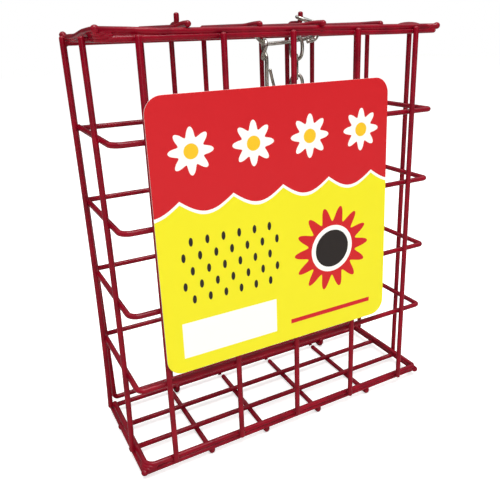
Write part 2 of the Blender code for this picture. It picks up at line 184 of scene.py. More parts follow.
def swept_wire(path, radius, sides=wire_sides, closed=False, ends=(True, True)):
    """Round wire: at each path point p a circle p + r(cos a n + sin a b), with n and b carried along the
    path without twist, and r falling as a quarter circle over the depth of a domed end."""
    path = np.asarray(path, float)
    radii = np.full(len(path), radius)
    if not closed:
        for end, dome in zip((0, -1), ends):
            if not dome:
                continue
            step = path[1] - path[0] if end == 0 else path[-2] - path[-1]
            step /= np.linalg.norm(step)
            depth = dome_share * radius * (1 - np.cos(dome_angles))
            ring = radius * np.sin(dome_angles)
            new = path[end] + depth[:, None] * step
            if end == 0:
                path = np.vstack([new, path[1:]])
                radii = np.concatenate([ring, radii[1:]])
            else:
                path = np.vstack([path[:-1], new[::-1]])
                radii = np.concatenate([radii[:-1], ring[::-1]])
    forward = np.roll(path, -1, axis=0) - np.roll(path, 1, axis=0)
    if not closed:
        forward[0] = path[1] - path[0]
        forward[-1] = path[-1] - path[-2]
    forward /= np.linalg.norm(forward, axis=1)[:, None]
    start = np.array([0.0, 0.0, 1.0]) if abs(forward[0, 2]) < 0.9 else np.array([0.0, 1.0, 0.0])
    normal = np.empty_like(path)
    for k in range(len(path)):
        start = start - forward[k] * np.dot(start, forward[k])
        start /= np.linalg.norm(start)
        normal[k] = start
    side = np.cross(forward, normal)
    angle = np.linspace(0, 2 * math.pi, sides, endpoint=False)
    ring = np.cos(angle)[None, :, None] * normal[:, None] + np.sin(angle)[None, :, None] * side[:, None]
    points = (path[:, None] + radii[:, None, None] * ring).reshape(-1, 3)
    faces = [list(f) for f in grid_faces(len(path), sides, wrap_rows=closed, wrap_columns=True)[:, ::-1]]
    if not closed:
        last = (len(path) - 1) * sides
        faces.append(list(range(sides)))
        faces.append(list(range(last + sides - 1, last - 1, -1)))
    return points, faces


def join_surfaces(surfaces):
    """One list of points and faces from several."""
    points, faces, count = [], [], 0
    for part_points, part_faces in surfaces:
        points.append(part_points)
        faces += [[i + count for i in face] for face in part_faces]
        count += len(part_points)
    return np.vstack(points), faces


def straight_run(start, stop, spacing=0.012):
    """Even points from start to stop."""
    start, stop = np.asarray(start, float), np.asarray(stop, float)
    count = max(2, int(np.linalg.norm(stop - start) / spacing) + 1)
    return start + (stop - start) * np.linspace(0, 1, count)[:, None]


def bend_points(centre, across, along, radius, start, stop, steps=10):
    """Points on an arc of the plane of two unit directions, between two angles in degrees."""
    angle = np.radians(np.linspace(start, stop, steps + 1))[:, None]
    outward = np.cos(angle) * np.asarray(across) + np.sin(angle) * np.asarray(along)
    return np.asarray(centre) + radius * outward


def node_ends(node):
    """The two ends of a straight wire's centre line, from its solid's box."""
    low, high = (np.array(corner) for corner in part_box(node))
    axis = int(np.argmax(high - low))
    start = (low + high) / 2
    stop = start.copy()
    start[axis], stop[axis] = low[axis], high[axis]
    return start, stop


vinyl = bpy.data.materials.new("dipped_cherry_vinyl")
vinyl.use_nodes = True
tree = vinyl.node_tree
shader = tree.nodes["Principled BSDF"]
place = add_node(tree, "ShaderNodeTexCoord")
# Dipped vinyl: a deep, saturated pigment with slow thick and thin areas a centimetre apart
cloud = add_node(tree, "ShaderNodeTexNoise", Vector=place.outputs["Object"], Scale=110.0, Detail=2.0)
tone = add_node(tree, "ShaderNodeValToRGB", Fac=cloud.outputs[0])
tone.color_ramp.elements[0].position = 0.30
tone.color_ramp.elements[0].color = from_hex("#76071B")
tone.color_ramp.elements[1].position = 0.70
tone.color_ramp.elements[1].color = from_hex("#940820")
tree.links.new(tone.outputs[0], shader.inputs["Base Color"])
# The skin flows out glossy, with a faint orange peel about 1 mm wide
peel = add_node(tree, "ShaderNodeTexNoise", Vector=place.outputs["Object"], Scale=900.0, Detail=1.0)
gloss = add_node(tree, "ShaderNodeMapRange", Value=cloud.outputs[0], To_Min=0.13, To_Max=0.22)
tree.links.new(gloss.outputs[0], shader.inputs["Roughness"])
skin = add_node(tree, "ShaderNodeBump", Height=peel.outputs[0], Strength=0.18, Distance=0.0002)
tree.links.new(skin.outputs[0], shader.inputs["Normal"])
shader.inputs["IOR"].default_value = 1.31

# Bends at the front corners. The right-hand ones came out tight, and so did one on the left.
corner_radius = 0.005
tight_radius = 0.0020
left_tight_radius = 0.0035
# The lowest wire was cut short at the rear left, and the right-hand sides stand out a little
short_cut = 0.0015
right_shift, shift_length = 0.0003, 0.02


def ease(value):
    """Smooth step from 0 to 1: 3t^2 - 2t^3."""
    t = np.clip(value, 0.0, 1.0)
    return t * t * (3 - 2 * t)


def wrap_dip(x):
    """How far the top wire sags towards its right-hand corner: 0.9 mm, eased in over 60 mm."""
    return 0.0009 * ease(x / 0.06)


basket_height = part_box("wrap_6")[1][2]
# How far handling moved the two ends of some wires along the basket's width as they were welded
end_shifts = {"side_upright_left": (0.0, -0.0003), "side_upright_right": (-0.0005, 0.0),
              "floor_bar_2": (0.0, 0.0014), "floor_bar_3": (0.0, 0.0012), "floor_bar_4": (0.0, 0.0004)}


def laid_ends(node):
    """The ends of a straight wire as it was laid: a little askew."""
    start, stop = node_ends(node)
    first, last = end_shifts.get(node, (0.0, 0.0))
    start[0] += first
    stop[0] += last
    return start, stop


def settle(points):
    """Bow of the uprights on the basket's left side, 1.4 mm deep: sin(pi height^0.7), deepest below half
    height."""
    height = np.clip(points[:, 2] / basket_height, 0, 1)
    points[:, 0] += 0.0014 * np.sin(math.pi * height ** 0.7)


wraps = []
for number in range(1, 7):
    low, high = (np.array(corner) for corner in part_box(f"wrap_{number}"))
    level = (low[2] + high[2]) / 2
    half_width = (high[0] - low[0]) / 2 - box_reach
    front = low[1] + box_reach
    left_bend, right_bend = left_tight_radius if number == 2 else corner_radius, tight_radius
    rear = high[1] - (short_cut if number == 1 else 0.0)
    left_centre = (left_bend - half_width, front + left_bend, level)
    right_centre = (half_width - right_bend, front + right_bend, level)
    outline = np.vstack([
        straight_run((-half_width, rear, level), (-half_width, front + left_bend, level))[:-1],
        bend_points(left_centre, (1, 0, 0), (0, 1, 0), left_bend, 180, 270),
        straight_run((left_bend - half_width, front, level), (half_width - right_bend, front, level))[1:-1],
        bend_points(right_centre, (1, 0, 0), (0, 1, 0), right_bend, 270, 360),
        straight_run((half_width, front + right_bend, level), (half_width, high[1], level))[1:]])
    outline[:, 0] += right_shift * ease((outline[:, 0] - half_width + shift_length) / shift_length)
    if number == 6:
        outline[:, 2] -= wrap_dip(outline[:, 0])
    wraps.append(swept_wire(outline, wire_radius))
basket_wraps = make_piece("basket_wraps", *join_surfaces(wraps))
basket_wraps.data.materials.append(vinyl)
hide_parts(*[f"wrap_{number}" for number in range(1, 7)])
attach(basket_wraps, "basket")

# The uprights: nine straight wires welded to the outside of the U-shaped wires, five in front, one on
# each side and two at the rear, under the same dipped vinyl.
upright_nodes = [f"front_upright_{number}" for number in range(1, 6)]
upright_nodes += ["side_upright_left", "side_upright_right", "rear_upright_left", "rear_upright_right"]
# The middle front upright was cut short below
middle_short_cut = 0.0012
uprights = []
for node in upright_nodes:
    run = straight_run(*laid_ends(node))
    if node == "front_upright_3":
        run[0, 2] += middle_short_cut
    if node in ("rear_upright_left", "side_upright_left"):
        settle(run)
    uprights.append(swept_wire(run, wire_radius))
basket_uprights = make_piece("basket_uprights", *join_surfaces(uprights))
basket_uprights.data.materials.append(vinyl)
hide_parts(*upright_nodes)
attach(basket_uprights, "basket")

# The floor and the lid: two welded grids. Their cross wires are cut between the edge wires and welded
# to them end on, and the bars lie outside the cross wires with their tips proud of the front.
front_wire_y = node_ends("floor_cross_1")[0][1]
rear_rail_y = node_ends("floor_cross_4")[0][1]
lid_level = node_ends("lid_cross_1")[0][2]


def lid_dip(x):
    """The lid's wires were pressed into the top U-shaped wire as they were welded: 0.5 mm at the left and
    1.9 mm at the right."""
    return 0.0012 + 0.0085 * x


def lid_warp(points):
    """The lid's left-hand side was wrung: its front end stands up 1.0 mm and its rear end hangs down
    1.8 mm, both eased in over the left 25 mm."""
    share = np.clip((points[:, 1] - front_wire_y) / (rear_rail_y - front_wire_y), 0, 1)
    rise = 0.0010 * (1 - ease(share / 0.5)) - 0.0018 * ease((share - 0.3) / 0.4)
    return ease((-points[:, 0] - 0.060) / 0.025) * rise


# Where the cut ends lie against those of the solids. The edge wires end at the front wire, the floor bars
# short of it and of the hinge rail, and two lid bars stand further out in front.
edge_setback, floor_edge_overrun = 0.0006, 0.0012
floor_tip_setback, rail_setback = 0.0022, 0.0010
lid_tip_reaches = {"1": 0.0012, "3": 0.0030}
# The lid bars were pressed down into the cross wires, to 1.3 mm between centres, and rise to their tips
# over the front 16 mm. The left edge wire's rear end curls up.
lid_tip_lifts = {"1": 0.0027, "4": 0.0016}
usual_tip_lift, rest_lift, rise_start, rise_length = 0.0022, 0.0013, 0.002, 0.016
edge_curl, curl_length = 0.0008, 0.0025


def grid_path(node):
    """Centre line of a floor or lid wire as it lies once welded and dipped."""
    start, stop = laid_ends(node)
    kind, place = node.split("_")[1:]
    if kind == "cross":
        edge_centre = node_ends(f"{node.split('_')[0]}_edge_right")[0][0]
        path = straight_run((-edge_centre, *start[1:]), (edge_centre, *start[1:]))
    elif kind == "edge":
        rear = rear_rail_y + floor_edge_overrun if node.startswith("floor") else stop[1]
        front = (start[0], front_wire_y - edge_setback, start[2])
        path = straight_run(front, (start[0], rear, start[2]), spacing=0.002)
        if node == "lid_edge_left":
            path[:, 2] += edge_curl * ease((path[:, 1] - rear_rail_y) / curl_length)
    elif node.startswith("floor"):
        front = (start[0], start[1] + floor_tip_setback, start[2])
        path = straight_run(front, (stop[0], rear_rail_y - rail_setback, start[2]), spacing=0.004)
    else:
        front = (start[0], start[1] - lid_tip_reaches.get(place, 0.0), start[2])
        path = straight_run(front, stop, spacing=0.003)
        tip_lift = lid_tip_lifts.get(place, usual_tip_lift)
        fall = ease((path[:, 1] - front_wire_y - rise_start) / rise_length)
        path[:, 2] = lid_level + tip_lift - (tip_lift - rest_lift) * fall
    if node.startswith("lid"):
        path[:, 2] += lid_warp(path) - lid_dip(path[:, 0])
    elif node == "floor_cross_1":
        # The floor's front wire rises from 0.1 mm at the left to 1.25 mm at the right
        path[:, 2] += 0.0001 + 0.0066 * (path[:, 0] + 0.087)
    return path


grid_nodes = [f"{grid}_{kind}_{number}" for grid in ("floor", "lid") for kind in ("cross", "bar")
              for number in range(1, 5)]
grid_nodes += [f"{grid}_edge_{side}" for grid in ("floor", "lid") for side in ("left", "right")]
grids = [swept_wire(grid_path(node), wire_radius, ends=("cross" not in node,) * 2) for node in grid_nodes]
grid_wires = make_piece("floor_and_lid_grids", *join_surfaces(grids))
grid_wires.data.materials.append(vinyl)
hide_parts(*grid_nodes)
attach(grid_wires, "basket")

# The rear door: a bent wire frame with four cross wires welded between its sides, two plain uprights on
# its outer face and two that curl under the bottom bar and round the hinge rail. Same dipped vinyl.
frame_low, frame_high = (np.array(corner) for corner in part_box("door_frame"))
frame_centre = (frame_low + frame_high) / 2
frame_half = (frame_high - frame_low) / 2 - box_reach
# The frame's corners are bent tight
frame_corner = 0.0022


def frame_lean(z):
    """How far the door frame's left side leans in: from nothing at the top to 2.9 mm at the foot."""
    share = (z - frame_low[2]) / (frame_high[2] - frame_low[2])
    return 0.0029 * (1 - share)


loop = []
for side, level, start in ((1, 1, 0), (-1, 1, 90), (-1, -1, 180), (1, -1, 270)):
    corner_place = frame_centre + np.array([side * (frame_half[0] - frame_corner), 0.0,
                                            level * (frame_half[2] - frame_corner)])
    loop.append(bend_points(corner_place, (1, 0, 0), (0, 0, 1), frame_corner, start, start + 90))
loop = np.vstack(loop)
loop[:, 0] += frame_lean(loop[:, 2]) * (loop[:, 0] < 0)
door_wires = [swept_wire(loop, wire_radius, closed=True)]
door_nodes = ["door_frame"]
for number in range(1, 5):
    node = f"door_cross_{number}"
    start, stop = node_ends(node)
    start[0], stop[0] = frame_lean(start[2]) - frame_half[0], frame_half[0]
    door_wires.append(swept_wire(straight_run(start, stop), wire_radius, ends=(False, False)))
    door_nodes.append(node)
for node in ("door_upright_2", "door_upright_3"):
    start, stop = node_ends(node)
    door_wires.append(swept_wire(straight_run(start, stop), wire_radius))
    door_nodes.append(node)

rail = node_ends("floor_cross_4")[0]
# Centre to centre of two wires that lie against each other, and how far the hinge curls' ends rise
wire_seat = 0.0030
curl_rise = 0.0022
door_offset = frame_centre[1] - rail[1]
bar_lift = frame_centre[2] - frame_half[2] - rail[2]
slope = math.degrees(math.atan2(bar_lift, door_offset))
for node in ("door_upright_1", "door_upright_4"):
    low, high = (np.array(corner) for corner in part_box(node))
    x = (low[0] + high[0]) / 2
    bar = (x, rail[1] + door_offset, rail[2] + bar_lift)
    route = np.vstack([
        straight_run((x, bar[1] + wire_seat, high[2]), (x, bar[1] + wire_seat, bar[2]))[:-1],
        bend_points(bar, (0, 1, 0), (0, 0, 1), wire_seat, 0, slope - 90),
        bend_points((x, rail[1], rail[2]), (0, 1, 0), (0, 0, 1), wire_seat, slope - 90, -180),
        [(x, rail[1] - wire_seat, rail[2] + curl_rise)]])
    door_wires.append(swept_wire(route, wire_radius))
    door_nodes.append(node)
door_piece = make_piece("door_wires", *join_surfaces(door_wires))
door_piece.data.materials.append(vinyl)
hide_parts(*door_nodes)
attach(door_piece, "door")

# The latch wires: two longer door uprights that arch over the door's top bar and the lid's rear rail and
# turn up, so that they spring over the rail as the door closes.
arch_radius, toe_radius, toe_rise = 0.0080, 0.0030, 0.0040
run_level = node_ends("lid_cross_4")[0][2] + wire_seat
latches = []
# How far each is bent to the left at its tip, how far it sags over the lid, and how much its tip is short
for node, shift, run_drop, tip_drop in (
        ("door_latch_1", 0.0018, 0.0007, 0.0),
        ("door_latch_2", 0.0030, 0.0016, 0.0005)):
    low, high = (np.array(corner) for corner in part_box(node))
    x = high[0] - box_reach
    outer = frame_centre[1] + wire_seat
    toe = low[1] + box_reach
    run = run_level - run_drop
    route = np.vstack([
        straight_run((x, outer, low[2]), (x, outer, run - arch_radius))[:-1],
        bend_points((x, outer - arch_radius, run - arch_radius), (0, 1, 0), (0, 0, 1), arch_radius, 0, 90),
        bend_points((x, toe + toe_radius, run + toe_radius), (0, 1, 0), (0, 0, 1), toe_radius, 270, 180, 6),
        [(x, toe, run + toe_rise), (x, toe, high[2] - tip_drop)]])
    route[:, 0] -= shift * (outer - route[:, 1]) / (outer - toe)
    latches.append(swept_wire(route, wire_radius))
latch_piece = make_piece("door_latch_wires", *join_surfaces(latches))
latch_piece.data.materials.append(vinyl)
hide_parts("door_latch_1", "door_latch_2")
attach(latch_piece, "door")


# Where wires cross, the vinyl bridges the weld in a small concave neck, and where two wires run side by
# side it fills the gap between them. Each neck sits on the weld that holds its two wires together.
# Every filling runs a little way into the wires that it joins.
neck_overlap, strip_overlap = 0.00008, 0.00006


def weld_neck(centre, normal, first, spacing):
    """Neck between two crossed wires. Angle t runs round the weld and h from the first wire to the
    second, along the normal: radius = waist + flare h^2, and its ends follow the wires' round sides,
    sqrt(R^2 - offset^2)."""
    waist, flare = 0.00088, 0.00034
    second = np.cross(normal, first)
    around, steps = 20, 7
    t, h = np.meshgrid(np.linspace(0, 2 * math.pi, around, endpoint=False), np.linspace(-1, 1, steps),
                       indexing="ij")
    radius = waist + flare * h ** 2
    ends = waist + flare
    low = np.sqrt(wire_radius ** 2 - (ends * np.sin(t)) ** 2) - neck_overlap
    high = spacing - np.sqrt(wire_radius ** 2 - (ends * np.cos(t)) ** 2) + neck_overlap
    rise = low + (high - low) * (h + 1) / 2 - spacing / 2
    outward = np.cos(t)[..., None] * first + np.sin(t)[..., None] * second
    points = np.asarray(centre) + radius[..., None] * outward + rise[..., None] * normal
    return points.reshape(-1, 3), [list(f) for f in grid_faces(around, steps, wrap_rows=True)]


def coating_between(first, second):
    """Filling between two neighbouring wires: at each pair of points a strip across the gap whose half
    thickness is waist + flare s^2, with s from -1 at the first centre line to 1 at the second."""
    across = second - first
    gap = np.linalg.norm(across, axis=1)[:, None]
    across = across / gap
    along = first[-1] - first[0]
    out = np.cross(along / np.linalg.norm(along), across)
    steps, waist, flare, least = 7, 0.00062, 0.00034, 0.00005
    s = np.linspace(-1, 1, steps)
    half = waist + flare * s ** 2
    to_wire = gap / 2 - math.sqrt(wire_radius ** 2 - half[0] ** 2) + strip_overlap
    rise = gap / 2 + s * np.maximum(to_wire, least)
    rise = np.concatenate([rise, rise[:, ::-1]], axis=1)
    half = np.concatenate([half, -half[::-1]])
    points = first[:, None] + rise[..., None] * across[:, None] + half[None, :, None] * out[:, None]
    return points.reshape(-1, 3), [list(f) for f in grid_faces(len(first), 2 * steps, wrap_columns=True)]


def coating_lump(centre, radii):
    """Drop of coating: an ellipsoid of the given half sizes."""
    around, down, pole = 20, 12, 0.02
    u, v = np.meshgrid(np.linspace(0, 2 * math.pi, around, endpoint=False),
                       np.linspace(pole, math.pi - pole, down), indexing="ij")
    points = np.stack([np.cos(u) * np.sin(v), np.sin(u) * np.sin(v), np.cos(v)], axis=-1) * radii + centre
    return points.reshape(-1, 3), [list(f) for f in grid_faces(around, down, wrap_rows=True)[:, ::-1]]


def runs_of(node):
    """Straight stretches of a node as pairs of ends: one for a straight wire, three for a U-shaped one."""
    low, high = (np.array(corner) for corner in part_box(node))
    if not node.startswith("wrap_"):
        return [laid_ends(node)]
    x, front, level = high[0] - box_reach, low[1] + box_reach, (low[2] + high[2]) / 2
    return [(np.array([-x, high[1], level]), np.array([-x, front + corner_radius, level])),
            (np.array([-x + corner_radius, front, level]), np.array([x - corner_radius, front, level])),
            (np.array([x, front + corner_radius, level]), np.array([x, high[1], level]))]


def necks_between(nodes):
    """A neck at each place where two wires of the list cross a wire apart."""
    least_gap, most_gap, slack, most_cosine = 0.0020, 0.0034, 0.001, 0.2
    runs = [(node, run) for node in nodes for run in runs_of(node)]
    found = []
    for index, (node, (a0, a1)) in enumerate(runs):
        for other, (b0, b1) in runs[index + 1:]:
            a, b = (a1 - a0) / np.linalg.norm(a1 - a0), (b1 - b0) / np.linalg.norm(b1 - b0)
            if node == other or abs(np.dot(a, b)) > most_cosine:
                continue
            normal = np.cross(a, b)
            normal /= np.linalg.norm(normal)
            gap = np.dot(b0 - a0, normal)
            if not least_gap < abs(gap) < most_gap:
                continue
            shift = b0 - a0
            on_a, on_b = np.dot(shift, a), -np.dot(shift, b)
            if not -slack < on_a < np.linalg.norm(a1 - a0) + slack:
                continue
            if not -slack < on_b < np.linalg.norm(b1 - b0) + slack:
                continue
            normal = normal * np.sign(gap)
            found.append(weld_neck(a0 + a * on_a + normal * abs(gap) / 2, normal, a, abs(gap)))
    return found


fills = necks_between([f"wrap_{number}" for number in range(1, 7)] + upright_nodes)
fills += necks_between([f"floor_cross_{number}" for number in range(2, 5)]
                       + [f"floor_bar_{number}" for number in range(1, 5)])
# The necks on the top wire sag with it
top_wire_zone = 0.2
for points, faces in fills:
    points[:, 2] -= wrap_dip(points[:, 0]) * (points[:, 2] > top_wire_zone)
strand_shares, strand_bend, strand_reach, strand_radius = (0.34, 0.67), 0.0010, 0.006, wire_radius * 0.97
for wrap, grid in (("wrap_1", "floor"), ("wrap_6", "lid")):
    left, middle, right = (straight_run(*run, spacing=0.004) for run in runs_of(wrap))
    level = middle[0][2]
    for run in (left, middle, right):
        if grid == "lid":
            run[:, 2] -= wrap_dip(run[:, 0])
    front_wire = grid_path(f"{grid}_cross_1")
    partner = middle.copy()
    partner[:, 2] = np.interp(middle[:, 0], front_wire[:, 0], front_wire[:, 2])
    fills.append(coating_between(middle, partner))
    for run, side in ((left, "left"), (right, "right")):
        edge_path = grid_path(f"{grid}_edge_{side}")
        edge = edge_path[0]
        partner = run.copy()
        partner[:, 0], partner[:, 2] = edge[0], np.interp(run[:, 1], edge_path[:, 1], edge_path[:, 2])
        fills.append(coating_between(run, partner))
        # The corner between the bend and the crossing wires is filled by two further strands of coating
        sign = math.copysign(1, edge[0])
        wrap_corner = np.array([run[0][0], front_wire_y, run[0][2]])
        for share in strand_shares:
            corner = wrap_corner + (np.array([edge[0], front_wire_y, edge[2]]) - wrap_corner) * share
            bend = corner_radius * (1 - share) + strand_bend * share
            centre = corner + np.array([-sign * bend, bend, 0.0])
            turn = bend_points(centre, (sign, 0, 0), (0, -1, 0), bend, 0, 90)
            tail = strand_reach - bend
            strand = np.vstack([turn[:1] + [[0, tail, 0]], turn, turn[-1:] - [[sign * tail, 0, 0]]])
            fills.append(swept_wire(strand, strand_radius))
# Drops where the coating ran together, each with its place and three half sizes: at the bars' tips, at
# the grids' corners, on the head of the right-hand side upright, and a little outside the floor's edge
# wires where its inner cross wires meet them
lump_outset = 1.004
for number in range(1, 5):
    tip = grid_path(f"floor_bar_{number}")[0]
    fills.append(coating_lump(tip + [0.0, 0.0008, 0.0009], (0.0017, 0.0016, 0.0020)))
    tip = grid_path(f"lid_bar_{number}")[0]
    fills.append(coating_lump(tip + [0.0, 0.0014, 0.0], (0.0015, 0.0017, 0.0014)))
for grid in ("floor", "lid"):
    for side in ("left", "right"):
        edge = grid_path(f"{grid}_edge_{side}")
        fills.append(coating_lump(edge[0] + [0.0, 0.0006, 0.0002], (0.0018, 0.0017, 0.0017)))
        fills.append(coating_lump(edge[-1] + [0.0, -0.0009, 0.0002], (0.0017, 0.0019, 0.0017)))
lid_side = grid_path("lid_edge_right")[0]
upright_y = node_ends("side_upright_right")[0][1]
head = (lid_side[0] + 0.0004, upright_y, lid_side[2] + 0.0002)
fills.append(coating_lump(head, (0.0018, 0.0105, 0.0023)))
for side in ("left", "right"):
    edge = node_ends(f"floor_edge_{side}")[0]
    for number in (2, 3):
        cross_y = node_ends(f"floor_cross_{number}")[0][1]
        fills.append(coating_lump((edge[0] * lump_outset, cross_y, edge[2]), (0.0016, 0.0022, 0.0015)))
basket_fills = make_piece("basket_coating_fillets", *join_surfaces(fills))
basket_fills.data.materials.append(vinyl)
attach(basket_fills, "basket")

# The same necks on the door, where its uprights and latches cross the frame and the cross wires
rearward, rightward = np.array([0.0, 1.0, 0.0]), np.array([1.0, 0.0, 0.0])
door_fill = []
levels = [node_ends(f"door_cross_{number}")[0][2] for number in range(1, 5)]
levels += [frame_low[2] + box_reach, frame_high[2] - box_reach]
for node in [f"door_upright_{number}" for number in range(1, 5)] + ["door_latch_1", "door_latch_2"]:
    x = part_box(node)[1][0] - box_reach
    for level in levels:
        centre = (x, frame_centre[1] + wire_seat / 2, level)
        door_fill.append(weld_neck(centre, rearward, rightward, wire_seat))
door_fills = make_piece("door_coating_fillets", *join_surfaces(door_fill))
door_fills.data.materials.append(vinyl)
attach(door_fills, "door")

# The card: stiff white board with a glossy print on its face, cut square with round corners, tied flat
# against the front uprights. Its print is a plain pattern in red, yellow and white.
card_low, card_high = (np.array(corner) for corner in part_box("label_card"))
card_corner = 0.008
card_chamfer = 0.00012
# Cut a little out of true: narrower towards the top right, higher and further out at the top left
narrowing, flaring, raising = 0.0023, 0.0006, 0.0005
card_centre = (card_low + card_high) / 2
card_half = (card_high - card_low) / 2


def card_surface():
    """Card outline: a rectangle whose corners are quarter circles, once in front, twice with a small
    chamfer and once behind, as a closed loft of four outlines."""
    outline = []
    for side, level, start in ((1, 1, 0), (-1, 1, 90), (-1, -1, 180), (1, -1, 270)):
        place = (side * (card_half[0] - card_corner), 0.0, level * (card_half[2] - card_corner))
        outline.append(bend_points(place, (1, 0, 0), (0, 0, 1), card_corner, start, start + 90, 14))
    outline = np.vstack(outline)
    shrink = 1 - card_chamfer / np.array([card_half[0], 1.0, card_half[2]])
    thick = card_half[1]
    layers = [outline * shrink + [0, -thick, 0], outline + [0, -thick + card_chamfer, 0],
              outline + [0, thick - card_chamfer, 0], outline * shrink + [0, thick, 0]]
    points = np.vstack(layers)
    across, up = points[:, 0] / card_half[0], (points[:, 2] / card_half[2] + 1) / 2
    points[:, 0] -= (narrowing * np.clip(across, 0, 1) * up
                     + flaring * np.clip(-across, 0, 1) * ease(up * 4 - 3))
    points[:, 2] += raising * up
    count = len(outline)
    faces = [list(f) for f in grid_faces(4, count, wrap_columns=True)]
    faces.append(list(range(count)))
    faces.append(list(range(4 * count - 1, 3 * count - 1, -1)))
    return points + card_centre, faces


card_piece = make_piece("printed_card", *card_surface(), smooth=False)
board = bpy.data.materials.new("gloss_printed_board")
board.use_nodes = True
tree = board.node_tree
shader = tree.nodes["Principled BSDF"]
place = add_node(tree, "ShaderNodeTexCoord")
where = add_node(tree, "ShaderNodeSeparateXYZ", Vector=place.outputs["Object"])


def compute(operation, first, second=0.0, third=0.0):
    """One arithmetic step on the card's coordinates."""
    step = add_node(tree, "ShaderNodeMath", {"operation": operation}, i0=first, i1=second, i2=third)
    return step.outputs[0]


def paint(mask, under, over):
    """Ink laid over what is printed below it where the mask is one."""
    if isinstance(over, str):
        over = from_hex(over)
    if isinstance(under, str):
        under = from_hex(under)
    mixed = tree.nodes.new("ShaderNodeMix")
    mixed.data_type = "RGBA"
    for socket, value in ((mixed.inputs[0], mask), (mixed.inputs[6], under), (mixed.inputs[7], over)):
        if isinstance(value, bpy.types.NodeSocket):
            tree.links.new(value, socket)
        else:
            socket.default_value = value
    return mixed.outputs[2]


card_x = compute("SUBTRACT", where.outputs["X"], float(card_centre[0]))
card_z = compute("SUBTRACT", where.outputs["Z"], float(card_centre[2]))
# A scalloped edge parts the red head of the card from the yellow field, 26 mm from scallop to scallop
scallop_pitch, scallop_depth, scallop_crest, line_half = 0.026, 0.006, 0.0185, 0.0008
wave = compute("ABSOLUTE", compute("SINE", compute("MULTIPLY", card_x, math.pi / scallop_pitch)))
edge = compute("SUBTRACT", scallop_crest, compute("MULTIPLY", wave, scallop_depth))
red_head = compute("GREATER_THAN", card_z, edge)
line = compute("LESS_THAN", compute("ABSOLUTE", compute("SUBTRACT", card_z, edge)), line_half)
ink = paint(red_head, "#F2E716", "#D0131D")
ink = paint(line, ink, "#FFFDF6")


def blossom(x, z, radius, petals, depth):
    """Round spot whose rim is cut into petals: r < radius (1 - depth + depth cos(petals angle))."""
    dx, dz = compute("SUBTRACT", card_x, x), compute("SUBTRACT", card_z, z)
    distance = compute("SQRT", compute("ADD", compute("MULTIPLY", dx, dx), compute("MULTIPLY", dz, dz)))
    lobe = compute("COSINE", compute("MULTIPLY", compute("ARCTAN2", dz, dx), float(petals)))
    rim = compute("MULTIPLY_ADD", lobe, radius * depth, radius * (1 - depth))
    return compute("LESS_THAN", distance, rim)


def panel(x, z, half_x, half_z):
    """Upright rectangle on the card."""
    inside_x = compute("LESS_THAN", compute("ABSOLUTE", compute("SUBTRACT", card_x, x)), half_x)
    inside_z = compute("LESS_THAN", compute("ABSOLUTE", compute("SUBTRACT", card_z, z)), half_z)
    return compute("MULTIPLY", inside_x, inside_z)


def seeds(step_x, step_z, half_x, half_z):
    """Rows of small upright ovals, with every other row moved half a step along."""
    row = compute("FLOOR", compute("DIVIDE", compute("ADD", card_z, step_z / 2), step_z))
    odd = compute("PINGPONG", row, 1.0)
    along = compute("PINGPONG", compute("MULTIPLY_ADD", odd, step_x / 2, card_x), step_x / 2)
    up = compute("PINGPONG", card_z, step_z / 2)
    x, z = compute("DIVIDE", along, half_x), compute("DIVIDE", up, half_z)
    return compute("LESS_THAN", compute("ADD", compute("MULTIPLY", x, x), compute("MULTIPLY", z, z)), 1.0)


# Head: a row of white eight-petalled blossoms 30 mm apart with yellow centres
for place_x in (-0.045, -0.015, 0.015, 0.045):
    ink = paint(blossom(place_x, 0.0405, 0.0105, 8, 0.20), ink, "#FFFDF6")
    ink = paint(blossom(place_x, 0.0405, 0.0034, 1, 0.0), ink, "#F7C51E")
# Field: a large red sunflower to the right, rows of dark seeds to the left and a blank white panel below
ink = paint(blossom(0.0285, -0.0190, 0.0225, 14, 0.17), ink, "#D2161C")
ink = paint(blossom(0.0285, -0.0190, 0.0125, 1, 0.0), ink, "#FFFDF6")
ink = paint(blossom(0.0285, -0.0190, 0.0100, 1, 0.0), ink, "#2B2422")
rows = compute("MULTIPLY", seeds(0.0080, 0.0070, 0.0010, 0.0021), panel(-0.0280, -0.0140, 0.0260, 0.0180))
ink = paint(rows, ink, "#2B2422")
ink = paint(panel(-0.0300, -0.0480, 0.0250, 0.0090), ink, "#FFFDF6")
ink = paint(panel(0.0285, -0.0540, 0.0250, 0.0012), ink, "#D2161C")
tree.links.new(ink, shader.inputs["Base Color"])
# Ink under a thin varnish: even, saturated colour with a soft, broad sheen
shader.inputs["Roughness"].default_value = 0.42
shader.inputs["IOR"].default_value = 1.36
card_piece.data.materials.append(board)
raw_board = bpy.data.materials.new("uncoated_white_board")
raw_board.use_nodes = True
tree = raw_board.node_tree
shader = tree.nodes["Principled BSDF"]
place = add_node(tree, "ShaderNodeTexCoord")
# Paper fibres about 1 mm long, drawn out across the sheet
stretch = add_node(tree, "ShaderNodeMapping", Vector=place.outputs["Object"], Scale=(900.0, 900.0, 2600.0))
fibre = add_node(tree, "ShaderNodeTexNoise", Vector=stretch.outputs[0], Scale=1.0, Detail=3.0)
tone = add_node(tree, "ShaderNodeValToRGB", Fac=fibre.outputs[0])
tone.color_ramp.elements[0].color = from_hex("#E4E0D6")
tone.color_ramp.elements[1].color = from_hex("#F6F4EE")
tree.links.new(tone.outputs[0], shader.inputs["Base Color"])
shader.inputs["Roughness"].default_value = 0.85
card_piece.data.materials.append(raw_board)
for face in card_piece.data.polygons:
    face.material_index = 0 if face.normal.y < -0.5 else 1
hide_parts("label_card")
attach(card_piece, "basket")

